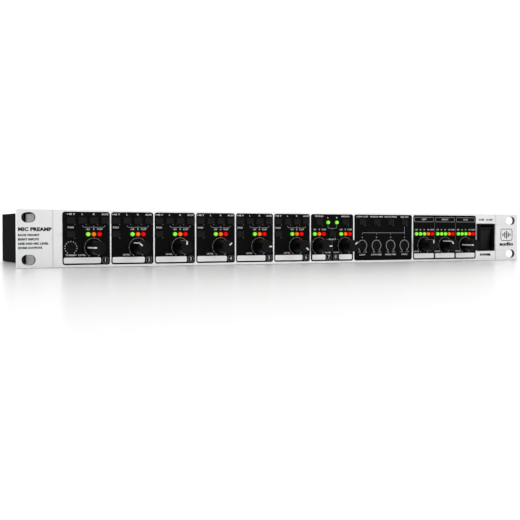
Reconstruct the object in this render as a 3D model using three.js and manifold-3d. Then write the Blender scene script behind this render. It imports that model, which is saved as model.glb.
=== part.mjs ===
// Rack-mount microphone preamp and zone mixer, one rack unit high.
// Millimetres, +X to the right along the front panel, +Y into the case, +Z up.
// The origin is the bottom centre of the whole unit's bounding box.
import * as THREE from 'three';
import { mergeVertices } from 'three/addons/utils/BufferGeometryUtils.js';
import Module from 'manifold-3d';

const wasm = await Module();
wasm.setup();

// ---------------------------------------------------------------- driving dimensions

// Depths are counted from the front panel's front face, heights from its bottom edge.
const GAP = 0.3;
const PANEL = { width: 482.6, height: 44.0, thick: 3.0 };
const PANEL_BACK = PANEL.thick + GAP;
const RACK_SLOT = { x: 232.55, z: [6.125, 37.875], length: 10.2, height: 7.4 };

const CASE = { width: 428.4, height: 43.2, depth: 178.0 };
const TRAY = { half: 213.0, sheet: 1.2, top: 41.9, rear: 176.8 };
const COVER = { sheet: 0.9, top: 1.0, skirtFront: 92.0, skirtBottom: 0.3 };
const FOOT = { x: [-195, -65, 65, 185], half: 4.0, end: 11.0, bottom: 1.5, top: 6.0 };
const FOOT_SCREW = { y: 7.0, r: 1.4, bottom: 0.2, holeR: 1.8 };

const KNOB = { baseR: 5.4, frontR: 5.1, back: -0.8, front: -14.5, shaftR: 3.0, shaftEnd: 13.0 };
const KNOB_HOLE_R = 3.7;
const BUTTON = { width: 6.6, height: 5.0, front: -1.2, back: 4.5, stem: 3.0, stemEnd: 11.5 };
const BUTTON_CLEAR = 0.35;
const TRIMMER = { r: 3.3, front: 0.4, back: 5.5, stemR: 2.0, stemEnd: 11.5, slot: 0.9 };
const TRIMMER_HOLE_R = 3.75;
const LED = { r: 1.5, tip: -1.0, holeR: 1.95 };

// Rows of controls on the front panel.
const ROW = { knob: 15.0, meter: 25.3, pad: 25.2, button: 35.8, busLamp: 35.3 };
const CHANNELS = 6;
const CHANNEL = { firstX: -182.5, pitch: 35.68 };
const KEY_PITCH = 8.97;
const METER_PITCH = 4.5;
const STEREO = { x: 31.4, half: 13.3, lampHalf: 4.4 };
const EQ = { firstX: 62.4, pitch: 15.13 };
const OUTPUT = { firstX: 129.85, pitch: 23.95, lampPitch: 4.4 };

// Power switch: a rocker that turns on an axle along X inside a snap-in housing.
const SWITCH = { x: 201.7, z: 22.0, pivotY: 4.0, tilt: THREE.MathUtils.degToRad(10) };
const BEZEL = { halfX: 10.0, halfZ: 12.9, front: -1.9, back: -GAP };
const SOCKET = { halfX: 9.2, halfZ: 12.1, openX: 7.4, openZ: 11.4, floor: 15.0, end: 22.0 };
const ROCKER = { halfX: 7.1, foldZ: 7.3, tipZ: 10.5, flat: 2.5, tip: 4.5, rearZ: 7.0, rear: 5.0 };
const AXLE = { r: 1.5, half: 8.5, boreR: 1.85, boreHalf: 8.8 };

// Boards inside the case.
const FRONT_BOARD = { x0: -206.5, x1: 190.5, z0: 3.0, z1: 41.4, y0: 16.0, y1: 17.6 };
const REAR_BOARD = { x0: -206.0, x1: 206.0, y0: 92.0, y1: 172.0, z0: 7.3, z1: 8.9 };
const SPACER = { r: 3.0, bottom: 1.5, x: [-196, 30, 120], y: [98, 145] };

// Rear connectors, seen from the front of the unit: X to the right.
const REAR_PLATE = { half: 211.5, thick: 1.2, bottom: 1.5, inset: 0.9, flange: 9 };
const BODY_END = TRAY.rear - REAR_PLATE.thick + 0.5;
const XLR = { firstX: -190, pitch: 30, z: 20.5, halfX: 13, z1: 33, y0: 150, noseR: 11.5, end: 177.6 };
const PHONO = { x: [0, 15], z: [14.5, 29.5], y0: 160, noseR: 4.5, boreR: 1.6, end: 184.5 };
const JACK = { x: [50, 75, 100], z: 18, halfX: 8, z1: 27, y0: 150, noseR: 5.5, boreR: 3.3, end: 180.5 };
const INLET = { x: 190, z: 20, halfX: 14, halfZ: 10, y0: 150, end: 178.0 };
const INLET_CAVITY = { halfX: 12.1, halfZ: 8.1, floor: 161 };
const FREE_EDGE = 0.5;

// Everything is finally moved back so that the origin is under the unit's centre.
const ORIGIN_Y = (KNOB.front + PHONO.end) / 2;

// ---------------------------------------------------------------- solids

// A closed three.js geometry as a solid that can be joined and cut.
function solid(geometry) {
  geometry.deleteAttribute('normal');
  geometry.deleteAttribute('uv');
  const merged = mergeVertices(geometry);
  const index = merged.index.array;
  const triangles = [];
  for (let i = 0; i < index.length; i += 3) {
    const [a, b, c] = [index[i], index[i + 1], index[i + 2]];
    if (a !== b && b !== c && c !== a) {
      triangles.push(a, b, c);
    }
  }
  const vertProperties = new Float32Array(merged.attributes.position.array);
  const triVerts = new Uint32Array(triangles);
  return new wasm.Manifold(new wasm.Mesh({ numProp: 3, vertProperties, triVerts }));
}

// The solid as a three.js geometry again.
function surface(body) {
  const mesh = body.getMesh();
  const geometry = new THREE.BufferGeometry();
  geometry.setAttribute('position', new THREE.BufferAttribute(mesh.vertProperties, 3));
  geometry.setIndex(new THREE.BufferAttribute(mesh.triVerts, 1));
  geometry.computeVertexNormals();
  return geometry;
}

function joined(first, ...rest) {
  return rest.reduce((whole, piece) => whole.add(piece), first);
}

function cut(first, ...tools) {
  return tools.reduce((whole, tool) => whole.subtract(tool), first);
}

function block(x0, x1, y0, y1, z0, z1) {
  const geometry = new THREE.BoxGeometry(x1 - x0, y1 - y0, z1 - z0);
  geometry.translate((x0 + x1) / 2, (y0 + y1) / 2, (z0 + z1) / 2);
  return solid(geometry);
}

// A block centred on x and z.
function post(x, z, halfX, halfZ, y0, y1) {
  return block(x - halfX, x + halfX, y0, y1, z - halfZ, z + halfZ);
}

// A cylinder along Y.
function pin(x, z, r, y0, y1, sides) {
  const geometry = new THREE.CylinderGeometry(r, r, y1 - y0, sides);
  geometry.translate(x, (y0 + y1) / 2, z);
  return solid(geometry);
}

// A cylinder along Z.
function pillar(x, y, r, z0, z1, sides) {
  const geometry = new THREE.CylinderGeometry(r, r, z1 - z0, sides);
  geometry.rotateX(Math.PI / 2);
  geometry.translate(x, y, (z0 + z1) / 2);
  return solid(geometry);
}

// A turned piece about a Y axis: each profile point is a radius and a depth.
function turned(profile, sides) {
  const points = profile.map(([r, y]) => new THREE.Vector2(r, y));
  return solid(new THREE.LatheGeometry(points, sides));
}

// A round-ended slot through the front panel.
function slot(x, z, length, height, y0, y1) {
  const r = height / 2;
  const reach = length / 2 - r;
  const outline = new THREE.Shape();
  outline.absarc(reach, 0, r, -Math.PI / 2, Math.PI / 2, false);
  outline.absarc(-reach, 0, r, Math.PI / 2, (3 * Math.PI) / 2, false);
  const settings = { depth: y1 - y0, bevelEnabled: false, curveSegments: 7 };
  const geometry = new THREE.ExtrudeGeometry(outline, settings);
  geometry.rotateX(Math.PI / 2);
  geometry.translate(x, y1, z);
  return solid(geometry);
}

// ---------------------------------------------------------------- control positions

const range = (count) => Array.from({ length: count }, (_, i) => i);
const channelX = (i) => CHANNEL.firstX + CHANNEL.pitch * i;
const stereoX = [STEREO.x - STEREO.half, STEREO.x + STEREO.half];
const eqX = range(4).map((i) => EQ.firstX + EQ.pitch * i);
const outputX = range(3).map((i) => OUTPUT.firstX + OUTPUT.pitch * i);

const buttons = [];
const knobs = [];
const trimmers = [];
const lamps = [];

for (const i of range(CHANNELS)) {
  const x = channelX(i);
  const name = `ch${i + 1}`;
  ['phantom', 'left', 'right', 'aux'].forEach((key, k) => {
    buttons.push({ name: `${name}_${key}_button`, x: x + (k - 2) * KEY_PITCH, z: ROW.button });
  });
  buttons.push({ name: `${name}_pad_button`, x: x - 2 * KEY_PITCH, z: ROW.pad });
  knobs.push({ name: `${name}_level_knob`, x });
  [-1, 0, 1].forEach((k) => lamps.push({ x: x + k * METER_PITCH, z: ROW.meter }));
}

stereoX.forEach((x, i) => {
  const name = `ch${i + CHANNELS + 1}`;
  buttons.push({ name: `${name}_mono_button`, x, z: ROW.button });
  knobs.push({ name: `${name}_level_knob`, x });
  [-1, 0, 1].forEach((k) => lamps.push({ x: x + k * METER_PITCH, z: ROW.meter }));
});
buttons.push({ name: 'stereo_select_button', x: STEREO.x, z: ROW.pad });
[-1, 1].forEach((side) => lamps.push({ x: STEREO.x + side * STEREO.lampHalf, z: ROW.busLamp }));

['low_cut', 'mono', 'mute', 'eq_on'].forEach((key, i) => {
  buttons.push({ name: `${key}_button`, x: eqX[i], z: ROW.button });
});
trimmers.push({ name: 'threshold_trimmer', x: channelX(0) - 2 * KEY_PITCH });
['low', 'low_mid', 'high_mid', 'high'].forEach((band, i) => {
  trimmers.push({ name: `${band}_trimmer`, x: eqX[i] });
});

['left', 'right', 'aux'].forEach((bus, i) => {
  const x = outputX[i];
  knobs.push({ name: `${bus}_level_knob`, x });
  [-2, -1, 0, 1, 2].forEach((k) => lamps.push({ x: x + k * OUTPUT.lampPitch, z: ROW.meter }));
});

// ---------------------------------------------------------------- case

// The panel, with feet behind it that are screwed down to the tray's floor.
function frontPanel() {
  const through = [-1, PANEL.thick + 1];
  const { half, end, bottom, top } = FOOT;
  let plate = block(-PANEL.width / 2, PANEL.width / 2, 0, PANEL.thick, 0, PANEL.height);
  for (const x of FOOT.x) {
    const screw = pillar(x, FOOT_SCREW.y, FOOT_SCREW.r, FOOT_SCREW.bottom, bottom + 1, 8);
    plate = joined(plate, block(x - half, x + half, PANEL.thick - 0.5, end, bottom, top), screw);
  }
  for (const side of [-1, 1]) {
    for (const z of RACK_SLOT.z) {
      const hole = slot(side * RACK_SLOT.x, z, RACK_SLOT.length, RACK_SLOT.height, ...through);
      plate = plate.subtract(hole);
    }
  }
  const keyX = BUTTON.width / 2 + BUTTON_CLEAR;
  const keyZ = BUTTON.height / 2 + BUTTON_CLEAR;
  for (const { x, z } of buttons) {
    plate = plate.subtract(post(x, z, keyX, keyZ, ...through));
  }
  for (const { x } of knobs) {
    plate = plate.subtract(pin(x, ROW.knob, KNOB_HOLE_R, ...through, 12));
  }
  for (const { x } of trimmers) {
    plate = plate.subtract(pin(x, ROW.knob, TRIMMER_HOLE_R, ...through, 14));
  }
  for (const { x, z } of lamps) {
    plate = plate.subtract(pin(x, z, LED.holeR, ...through, 8));
  }
  const switchHole = post(SWITCH.x, SWITCH.z, SOCKET.halfX + GAP, SOCKET.halfZ + GAP, ...through);
  return plate.subtract(switchHole);
}

// The bent steel tray: floor and two sides, with holes for the screws under the panel's feet.
function chassisTray() {
  const { half, sheet, top, rear } = TRAY;
  let tray = joined(
    block(-half, half, PANEL_BACK, rear, 0, sheet),
    block(-half, -half + sheet, PANEL_BACK, rear, 0, top),
    block(half - sheet, half, PANEL_BACK, rear, 0, top),
  );
  for (const x of FOOT.x) {
    tray = tray.subtract(pillar(x, FOOT_SCREW.y, FOOT_SCREW.holeR, -1, sheet + 1, 8));
  }
  return tray;
}

// The black U-shaped cover: top sheet and side skirts.
function topCover() {
  const half = CASE.width / 2;
  const under = CASE.height - COVER.top;
  const { sheet, skirtFront, skirtBottom } = COVER;
  return joined(
    block(-half, half, PANEL_BACK, CASE.depth, under, CASE.height),
    block(-half, -half + sheet, skirtFront, CASE.depth, skirtBottom, CASE.height),
    block(half - sheet, half, skirtFront, CASE.depth, skirtBottom, CASE.height),
  );
}

// ---------------------------------------------------------------- boards

// The vertical board behind the panel, with its pots, switch bodies and lamps soldered on.
function controlBoard() {
  const { x0, x1, y0, y1, z0, z1 } = FRONT_BOARD;
  let board = block(x0, x1, y0, y1, z0, z1);
  for (const { x } of knobs) {
    board = board.add(post(x, ROW.knob, 4.8, 4.8, 6.5, y0 + 0.5));
    board = board.add(pin(x, ROW.knob, 4.3, 4.0, 7.0, 12));
    board = board.subtract(pin(x, ROW.knob, KNOB.shaftR + 0.4, 3.0, KNOB.shaftEnd + 0.6, 12));
  }
  for (const { x } of trimmers) {
    board = board.add(post(x, ROW.knob, 4.5, 4.5, 6.2, y0 + 0.5));
    board = board.subtract(pin(x, ROW.knob, TRIMMER.stemR + 0.4, 5.0, TRIMMER.stemEnd + 0.6, 8));
  }
  for (const { x, z } of buttons) {
    const opening = BUTTON.stem / 2 + GAP;
    board = board.add(post(x, z, 3.7, 3.5, 7.2, y0 + 0.5));
    board = board.subtract(post(x, z, opening, opening, 7.0, 14.0));
  }
  for (const { x, z } of lamps) {
    board = board.add(pin(x, z, LED.r, LED.tip, y0 + 0.5, 6));
  }
  return board;
}

function xlrSocket(x) {
  const { z, halfX, z1, y0, noseR, end } = XLR;
  const ring = turned([[7.4, end - 12], [9.7, end - 12], [9.7, end + 1], [7.4, end + 1],
    [7.4, end - 12]], 14);
  let socket = block(x - halfX, x + halfX, y0, BODY_END, REAR_BOARD.z0 + 1, z1);
  socket = socket.add(pin(x, z, noseR, BODY_END - 1, end, 16));
  socket = socket.subtract(ring.translate([x, 0, z]));
  for (const turn of [Math.PI / 2, (7 * Math.PI) / 6, (11 * Math.PI) / 6]) {
    const pinX = x + 4 * Math.cos(turn);
    const pinZ = z - 4 * Math.sin(turn);
    socket = socket.subtract(pin(pinX, pinZ, 1.2, end - 10, end + 1, 6));
  }
  return socket;
}

function phonoBlock() {
  const half = 6.8;
  const [x0, x1] = PHONO.x;
  let sockets = block(x0 - half, x1 + half, PHONO.y0, BODY_END, REAR_BOARD.z0 + 1, 36);
  for (const x of PHONO.x) {
    for (const z of PHONO.z) {
      sockets = sockets.add(pin(x, z, PHONO.noseR, BODY_END - 1, PHONO.end, 10));
      sockets = sockets.subtract(pin(x, z, PHONO.boreR, PHONO.end - 9, PHONO.end + 1, 8));
    }
  }
  return sockets;
}

function jackSocket(x) {
  const { z, halfX, z1, y0, noseR, boreR, end } = JACK;
  const body = block(x - halfX, x + halfX, y0, BODY_END, REAR_BOARD.z0 + 1, z1);
  const nose = pin(x, z, noseR, BODY_END - 1, end, 12);
  return cut(joined(body, nose), pin(x, z, boreR, y0 + 3, end + 1, 12));
}

// The mains inlet with its three blades: earth above, line and neutral below.
function mainsInlet() {
  const { x, z, halfX, halfZ, y0, end } = INLET;
  const { floor } = INLET_CAVITY;
  let inlet = post(x, z, halfX, halfZ, y0, end);
  inlet = inlet.add(block(x - halfX, x + halfX, y0, y0 + 18, REAR_BOARD.z0 + 1, z));
  inlet = inlet.subtract(
    post(x, z, INLET_CAVITY.halfX, INLET_CAVITY.halfZ, floor, end + 1));
  for (const [bladeX, bladeZ] of [[x, z + 4], [x - 7, z - 2], [x + 7, z - 2]]) {
    inlet = inlet.add(post(bladeX, bladeZ, 1, 2, floor - 1, end - 2));
  }
  return inlet;
}

// The steel plate at the rear, cut out just inside the edge of each connector's nose, with a
// flange bent forwards under the cover.
function rearPlate() {
  const { half, thick, bottom, inset, flange } = REAR_PLATE;
  const through = [TRAY.rear - thick - 1, TRAY.rear + 1];
  let plate = joined(
    block(-half, half, TRAY.rear - thick, TRAY.rear, bottom, TRAY.top),
    block(-half, half, TRAY.rear - flange, TRAY.rear, TRAY.top - thick, TRAY.top),
  );
  for (const i of range(CHANNELS)) {
    const x = XLR.firstX + XLR.pitch * i;
    plate = plate.subtract(pin(x, XLR.z, XLR.noseR - inset, ...through, 16));
  }
  for (const x of PHONO.x) {
    for (const z of PHONO.z) {
      plate = plate.subtract(pin(x, z, PHONO.noseR - inset, ...through, 10));
    }
  }
  for (const x of JACK.x) {
    plate = plate.subtract(pin(x, JACK.z, JACK.noseR - inset, ...through, 12));
  }
  return plate.subtract(post(INLET.x, INLET.z, INLET.halfX - inset, INLET.halfZ - inset, ...through));
}

// The rear plate with the connectors fixed in it, and the main board that they are soldered to
// with its transformer, capacitors and the spacers that it stands on.
function rearPanel() {
  const { x0, x1, y0, y1, z0, z1 } = REAR_BOARD;
  const seat = z0 + 1;
  let board = joined(rearPlate(), block(x0, x1, y0, y1, z0, z1));
  for (const i of range(CHANNELS)) {
    const x = XLR.firstX + XLR.pitch * i;
    board = board.add(xlrSocket(x));
    board = board.add(block(x - 5, x + 5, 120, 127, seat, z1 + 2.4));
  }
  for (const x of JACK.x) {
    board = board.add(jackSocket(x));
  }
  for (const x of SPACER.x) {
    for (const y of SPACER.y) {
      board = board.add(pillar(x, y, SPACER.r, SPACER.bottom, seat, 8));
    }
  }
  return joined(
    board,
    phonoBlock(),
    mainsInlet(),
    block(132, 168, 102, 138, seat, 36),
    block(137, 163, 96, 144, seat + 2, 33),
    pillar(184, 106, 8, seat, 34, 12),
    pillar(184, 128, 8, seat, 34, 12),
    block(-40, 10, 100, 106, seat, z1 + 8),
  );
}

// ---------------------------------------------------------------- power switch

function switchHousing() {
  const { x, z, pivotY } = SWITCH;
  const bezel = post(x, z, BEZEL.halfX, BEZEL.halfZ, BEZEL.front, BEZEL.back);
  const socket = post(x, z, SOCKET.halfX, SOCKET.halfZ, BEZEL.back - 1, SOCKET.end);
  const opening = post(x, z, SOCKET.openX, SOCKET.openZ, BEZEL.front - 1, SOCKET.floor);
  const bore = new THREE.CylinderGeometry(AXLE.boreR, AXLE.boreR, 2 * AXLE.boreHalf, 12);
  bore.rotateZ(Math.PI / 2);
  bore.translate(x, pivotY, z);
  let housing = cut(joined(bezel, socket), opening, solid(bore));
  for (const side of [-1, 1]) {
    for (const tabZ of [z - 6, z + 6]) {
      housing = housing.add(post(x + side * 4.5, tabZ, 0.4, 2.4, SOCKET.end - 1, SOCKET.end + 7));
    }
  }
  return housing;
}

// The rocker about its own axle, tilted so that its lower end is pressed in.
function rockerShape() {
  const { halfX, foldZ, tipZ, flat, tip, rearZ, rear } = ROCKER;
  const side = new THREE.Shape();
  side.moveTo(-tip, -tipZ);
  side.lineTo(-flat, -foldZ);
  side.lineTo(-flat, foldZ);
  side.lineTo(-tip, tipZ);
  side.lineTo(rear, rearZ);
  side.lineTo(rear, -rearZ);
  side.closePath();
  const settings = { depth: 2 * halfX, bevelEnabled: false };
  const paddle = new THREE.ExtrudeGeometry(side, settings);
  const alongX = new THREE.Matrix4().makeBasis(
    new THREE.Vector3(0, 1, 0),
    new THREE.Vector3(0, 0, 1),
    new THREE.Vector3(1, 0, 0),
  );
  paddle.applyMatrix4(alongX);
  paddle.translate(-halfX, 0, 0);
  const axle = new THREE.CylinderGeometry(AXLE.r, AXLE.r, 2 * AXLE.half, 12);
  axle.rotateZ(Math.PI / 2);
  return joined(solid(paddle), solid(axle));
}

// ---------------------------------------------------------------- knobs, buttons and trimmers

function knobShape() {
  const { baseR, frontR, back, front, shaftR, shaftEnd } = KNOB;
  return turned([
    [0, front],
    [frontR - FREE_EDGE, front],
    [frontR, front + FREE_EDGE],
    [baseR, back],
    [shaftR, back],
    [shaftR, shaftEnd],
    [0, shaftEnd],
  ], 16);
}

function buttonShape() {
  const { width, height, front, back, stem, stemEnd } = BUTTON;
  return joined(
    post(0, 0, width / 2, height / 2, front, back),
    post(0, 0, stem / 2, stem / 2, back - 1, stemEnd),
  );
}

function trimmerShape() {
  const { r, front, back, stemR, stemEnd, slot: slotWidth } = TRIMMER;
  const dial = pin(0, 0, r, front, back, 14);
  const stem = pin(0, 0, stemR, back - 1, stemEnd, 8);
  const across = post(0, 0, 2.4, slotWidth / 2, front - 1, front + 1.2);
  return joined(dial, stem).subtract(across);
}

// ---------------------------------------------------------------- materials

function finish(color, roughness, metalness) {
  return new THREE.MeshStandardMaterial({ color, roughness, metalness });
}

const brushedAluminium = finish(0xd9dadb, 0.42, 0.9);
const zincSteel = finish(0x8f9294, 0.45, 0.9);
const blackPaint = finish(0x1b1b1c, 0.6, 0.1);
const blackPlastic = finish(0x1d1d1f, 0.55, 0.0);
const greyPlastic = finish(0x242427, 0.6, 0.0);
const circuitBoard = finish(0x1f5a36, 0.6, 0.1);

// ---------------------------------------------------------------- assembly

const unit = new THREE.Group();
unit.position.y = -ORIGIN_Y;

function place(name, geometry, material, x = 0, y = 0, z = 0) {
  const mesh = new THREE.Mesh(geometry, material);
  mesh.name = name;
  mesh.position.set(x, y, z);
  unit.add(mesh);
  return mesh;
}

place('front_panel', surface(frontPanel()), brushedAluminium);
place('chassis_tray', surface(chassisTray()), zincSteel);
place('top_cover', surface(topCover()), blackPaint);
place('control_board', surface(controlBoard()), circuitBoard);
place('rear_panel', surface(rearPanel()), blackPlastic);
place('power_switch_housing', surface(switchHousing()), blackPlastic);

const rocker = surface(rockerShape());
const rockerMesh = place('power_rocker', rocker, blackPlastic, SWITCH.x, SWITCH.pivotY, SWITCH.z);
rockerMesh.rotation.x = SWITCH.tilt;

const knobSurface = surface(knobShape());
for (const { name, x } of knobs) {
  place(name, knobSurface, blackPlastic, x, 0, ROW.knob);
}

const buttonSurface = surface(buttonShape());
for (const { name, x, z } of buttons) {
  place(name, buttonSurface, greyPlastic, x, 0, z);
}

const trimmerSurface = surface(trimmerShape());
for (const { name, x } of trimmers) {
  place(name, trimmerSurface, greyPlastic, x, 0, ROW.knob);
}

const group = new THREE.Group();
group.add(unit);

export default group;
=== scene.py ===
import math

import bmesh
import bpy
from mathutils import Matrix, Vector
from mathutils.geometry import tessellate_polygon


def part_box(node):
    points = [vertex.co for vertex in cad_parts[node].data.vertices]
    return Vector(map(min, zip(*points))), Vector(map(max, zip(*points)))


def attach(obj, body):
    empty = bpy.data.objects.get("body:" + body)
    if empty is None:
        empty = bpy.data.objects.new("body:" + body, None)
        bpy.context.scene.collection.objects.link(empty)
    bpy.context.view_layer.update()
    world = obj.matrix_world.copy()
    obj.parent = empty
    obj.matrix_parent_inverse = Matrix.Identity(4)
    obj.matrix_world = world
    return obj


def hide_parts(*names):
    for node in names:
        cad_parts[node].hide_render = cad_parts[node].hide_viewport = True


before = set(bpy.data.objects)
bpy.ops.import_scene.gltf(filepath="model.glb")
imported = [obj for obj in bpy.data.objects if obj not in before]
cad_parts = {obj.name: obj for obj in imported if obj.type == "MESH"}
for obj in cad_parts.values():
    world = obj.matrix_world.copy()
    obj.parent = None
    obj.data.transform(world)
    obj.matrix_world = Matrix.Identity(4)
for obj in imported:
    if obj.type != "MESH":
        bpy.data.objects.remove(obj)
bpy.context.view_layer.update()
SCENE = bpy.context.scene
MM = 0.001

# ------------------------------------------------------------------ places from the frame


def centre(node):
    """The middle of a CAD node's box."""
    low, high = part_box(node)
    return (low + high) / 2


PANEL_LOW, PANEL_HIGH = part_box("front_panel")
FACE = PANEL_LOW.y
PANEL_THICK = 3.0 * MM
CASE_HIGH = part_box("chassis_tray")[1]
COVER_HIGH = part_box("top_cover")[1]
REAR = CASE_HIGH.y

CHANNEL_NAMES = [f"ch{i}" for i in range(1, 9)]
BUS_NAMES = ["left", "right", "aux"]
BAND_NAMES = ["low", "low_mid", "high_mid", "high"]

CHANNEL_X = [centre(f"{name}_level_knob").x for name in CHANNEL_NAMES]
MIC_X = CHANNEL_X[:6]
STEREO_X = CHANNEL_X[6:]
STEREO_MID = sum(STEREO_X) / 2
BUS_X = [centre(f"{name}_level_knob").x for name in BUS_NAMES]
EQ_X = [centre(f"{name}_trimmer").x for name in BAND_NAMES]
KNOB_Z = centre("ch1_level_knob").z
KEY_PITCH = centre("ch1_right_button").x - centre("ch1_left_button").x
SWITCH_LOW, SWITCH_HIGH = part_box("power_switch_housing")
SWITCH_MID = (SWITCH_LOW + SWITCH_HIGH) / 2
CASE_EDGE_X = COVER_HIGH.x
SLOT_X = 232.55 * MM
SLOT_Z = [6.125 * MM, 37.875 * MM]
FOOT_X = [-195 * MM, -65 * MM, 65 * MM, 185 * MM]

METER_Z = 25.3 * MM
METER_PITCH = 4.5 * MM
BUS_METER_PITCH = 4.4 * MM
BUS_LAMP_Z = 35.3 * MM
BUS_LAMP_HALF = 4.4 * MM
LAMP_R = 1.54 * MM
LAMP_HOLE_R = 1.75 * MM
KNOB_HOLE_R = 3.7 * MM
TRIMMER_HOLE_R = 3.7 * MM
KEY_SIZE = (6.6 * MM, 5.0 * MM)
KEY_CLEAR = 0.15 * MM

# The way each level knob points at rest, in degrees clockwise from straight up.
POINTS_AT = {
    "ch1": -90, "ch2": -48, "ch3": 0, "ch4": 47, "ch5": 90, "ch6": 132, "ch7": 90, "ch8": 47,
    "left": 0, "right": -45, "aux": -90,
}

# The printed black fields: left and right edges, from the controls that they hold.
FIELD_LOW = 1.8 * MM
FIELD_HIGH = 42.4 * MM
FIELD_R = 2.0 * MM
FIELD_RIGHT = 12.9 * MM
FIELD_LEFT = 21.7 * MM
FIRST_FIELD_LEFT = 24.5 * MM
STRIP_Z = (3.05 * MM, 7.45 * MM)
PRINT = 0.06 * MM
INK_BACK = 0.02 * MM
INK = 0.11 * MM

# ------------------------------------------------------------------ camera

CAMERA_FROM_PANEL = Vector((-400.2, -705.7, 26.8)) * MM
CAMERA_YAW = math.radians(27.09)
CAMERA_PITCH = math.radians(1.68)
CAMERA_LENS = 65.61

camera_data = bpy.data.cameras.new("camera")
camera_data.lens = CAMERA_LENS
camera_data.sensor_width = 36.0
camera_data.clip_start = 0.01
camera = bpy.data.objects.new("camera", camera_data)
camera.location = CAMERA_FROM_PANEL + Vector((0, FACE, 0))
camera.rotation_euler = (math.pi / 2 - CAMERA_PITCH, 0, -CAMERA_YAW)
SCENE.collection.objects.link(camera)
SCENE.camera = camera

# ------------------------------------------------------------------ materials


def shader(name):
    """A new material, its node tree and its Principled shader."""
    made = bpy.data.materials.new(name)
    made.use_nodes = True
    tree = made.node_tree
    return made, tree, tree.nodes["Principled BSDF"]


def noise(tree, scale, stretch=(1, 1, 1), detail=3.0):
    """Noise in the object's own space, with scale in features per metre."""
    coordinates = tree.nodes.new("ShaderNodeTexCoord")
    mapping = tree.nodes.new("ShaderNodeMapping")
    mapping.inputs["Scale"].default_value = stretch
    texture = tree.nodes.new("ShaderNodeTexNoise")
    texture.inputs["Scale"].default_value = scale
    texture.inputs["Detail"].default_value = detail
    tree.links.new(coordinates.outputs["Object"], mapping.inputs["Vector"])
    tree.links.new(mapping.outputs["Vector"], texture.inputs["Vector"])
    return texture.outputs["Fac"]


def spread(tree, source, low, high):
    """The source's middle range carried to low..high."""
    node = tree.nodes.new("ShaderNodeMapRange")
    node.inputs["From Min"].default_value = 0.3
    node.inputs["From Max"].default_value = 0.7
    node.inputs["To Min"].default_value = low
    node.inputs["To Max"].default_value = high
    tree.links.new(source, node.inputs["Value"])
    return node.outputs["Result"]


def blend_colours(tree, source, first, second):
    node = tree.nodes.new("ShaderNodeValToRGB")
    node.color_ramp.elements[0].position = 0.3
    node.color_ramp.elements[0].color = (*first, 1)
    node.color_ramp.elements[1].position = 0.7
    node.color_ramp.elements[1].color = (*second, 1)
    tree.links.new(source, node.inputs["Fac"])
    return node.outputs["Color"]


def relief(tree, bsdf, source, strength, depth):
    node = tree.nodes.new("ShaderNodeBump")
    node.inputs["Strength"].default_value = strength
    node.inputs["Distance"].default_value = depth
    tree.links.new(source, node.inputs["Height"])
    tree.links.new(node.outputs["Normal"], bsdf.inputs["Normal"])


def coated(name, colour, rough, metallic=0.0, specular=0.5, vary=0.12, grain=1500,
           stretch=(1, 1, 1), bump=0.1, depth=0.03 * MM, patch=60):
    """A surface with patchy colour, roughness that varies and a fine relief."""
    made, tree, bsdf = shader(name)
    bsdf.inputs["Metallic"].default_value = metallic
    bsdf.inputs["Specular IOR Level"].default_value = specular
    fine = noise(tree, grain, stretch)
    broad = noise(tree, patch)
    darker = [c * (1 - vary) for c in colour]
    lighter = [min(1.0, c * (1 + vary)) for c in colour]
    tree.links.new(blend_colours(tree, broad, darker, lighter), bsdf.inputs["Base Color"])
    tree.links.new(spread(tree, fine, rough * 0.88, rough * 1.12), bsdf.inputs["Roughness"])
    relief(tree, bsdf, fine, bump, depth)
    return made


def brushed(name, colour, rough, anisotropy):
    """Metal brushed along X: long fine streaks in colour, roughness and relief."""
    made, tree, bsdf = shader(name)
    bsdf.inputs["Metallic"].default_value = 1.0
    bsdf.inputs["Anisotropic"].default_value = anisotropy
    streaks = noise(tree, 1.0, (60, 2500, 4200), 4.0)
    darker = [c * 0.96 for c in colour]
    tree.links.new(blend_colours(tree, streaks, darker, colour), bsdf.inputs["Base Color"])
    tree.links.new(spread(tree, streaks, rough * 0.85, rough * 1.15), bsdf.inputs["Roughness"])
    relief(tree, bsdf, streaks, 0.08, 0.01 * MM)
    return made


def lit(name, rim, core, strength):
    """A lit lens, brighter at its tip than at its rim."""
    made, tree, bsdf = shader(name)
    attribute = tree.nodes.new("ShaderNodeAttribute")
    attribute.attribute_name = "core"
    colour = blend_colours(tree, attribute.outputs["Fac"], rim, core)
    tree.links.new(colour, bsdf.inputs["Emission Color"])
    bsdf.inputs["Base Color"].default_value = (*[c * 0.08 for c in core], 1)
    bsdf.inputs["Emission Strength"].default_value = strength
    bsdf.inputs["Specular IOR Level"].default_value = 0.0
    fine = noise(tree, 2500)
    tree.links.new(spread(tree, fine, 0.18, 0.28), bsdf.inputs["Roughness"])
    return made


SILVER = brushed("silver_panel", (0.86, 0.86, 0.865), 0.42, 0.35)
ZINC = coated("zinc_steel", (0.27, 0.275, 0.28), 0.5, metallic=0.8, vary=0.1, patch=180)
BLACK_PAINT = coated("black_paint", (0.0016, 0.0016, 0.0017), 0.7, specular=0.015, grain=900,
                     bump=0.4)
FIELD_INK = coated("print_black", (0.0055, 0.0055, 0.0057), 0.5, specular=0.03, grain=2600,
                   bump=0.05)
WHITE_INK = coated("print_white", (0.75, 0.75, 0.75), 0.6, specular=0.2, vary=0.04)
STRIP_INK = brushed("strip_silver", (0.88, 0.88, 0.88), 0.5, 0.2)
LINE_INK = coated("print_line", (0.38, 0.38, 0.38), 0.6, specular=0.2, vary=0.04)
GREY_INK = coated("print_grey", (0.17, 0.17, 0.175), 0.6, specular=0.2, vary=0.05)
# Darker grey on the silver for two upright lines at the case's edges: painted shade of a crease.
CREASE_SHADE_INK = coated("crease_shade_paint", (0.45, 0.45, 0.455), 0.5, metallic=0.6, vary=0.05)
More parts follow.
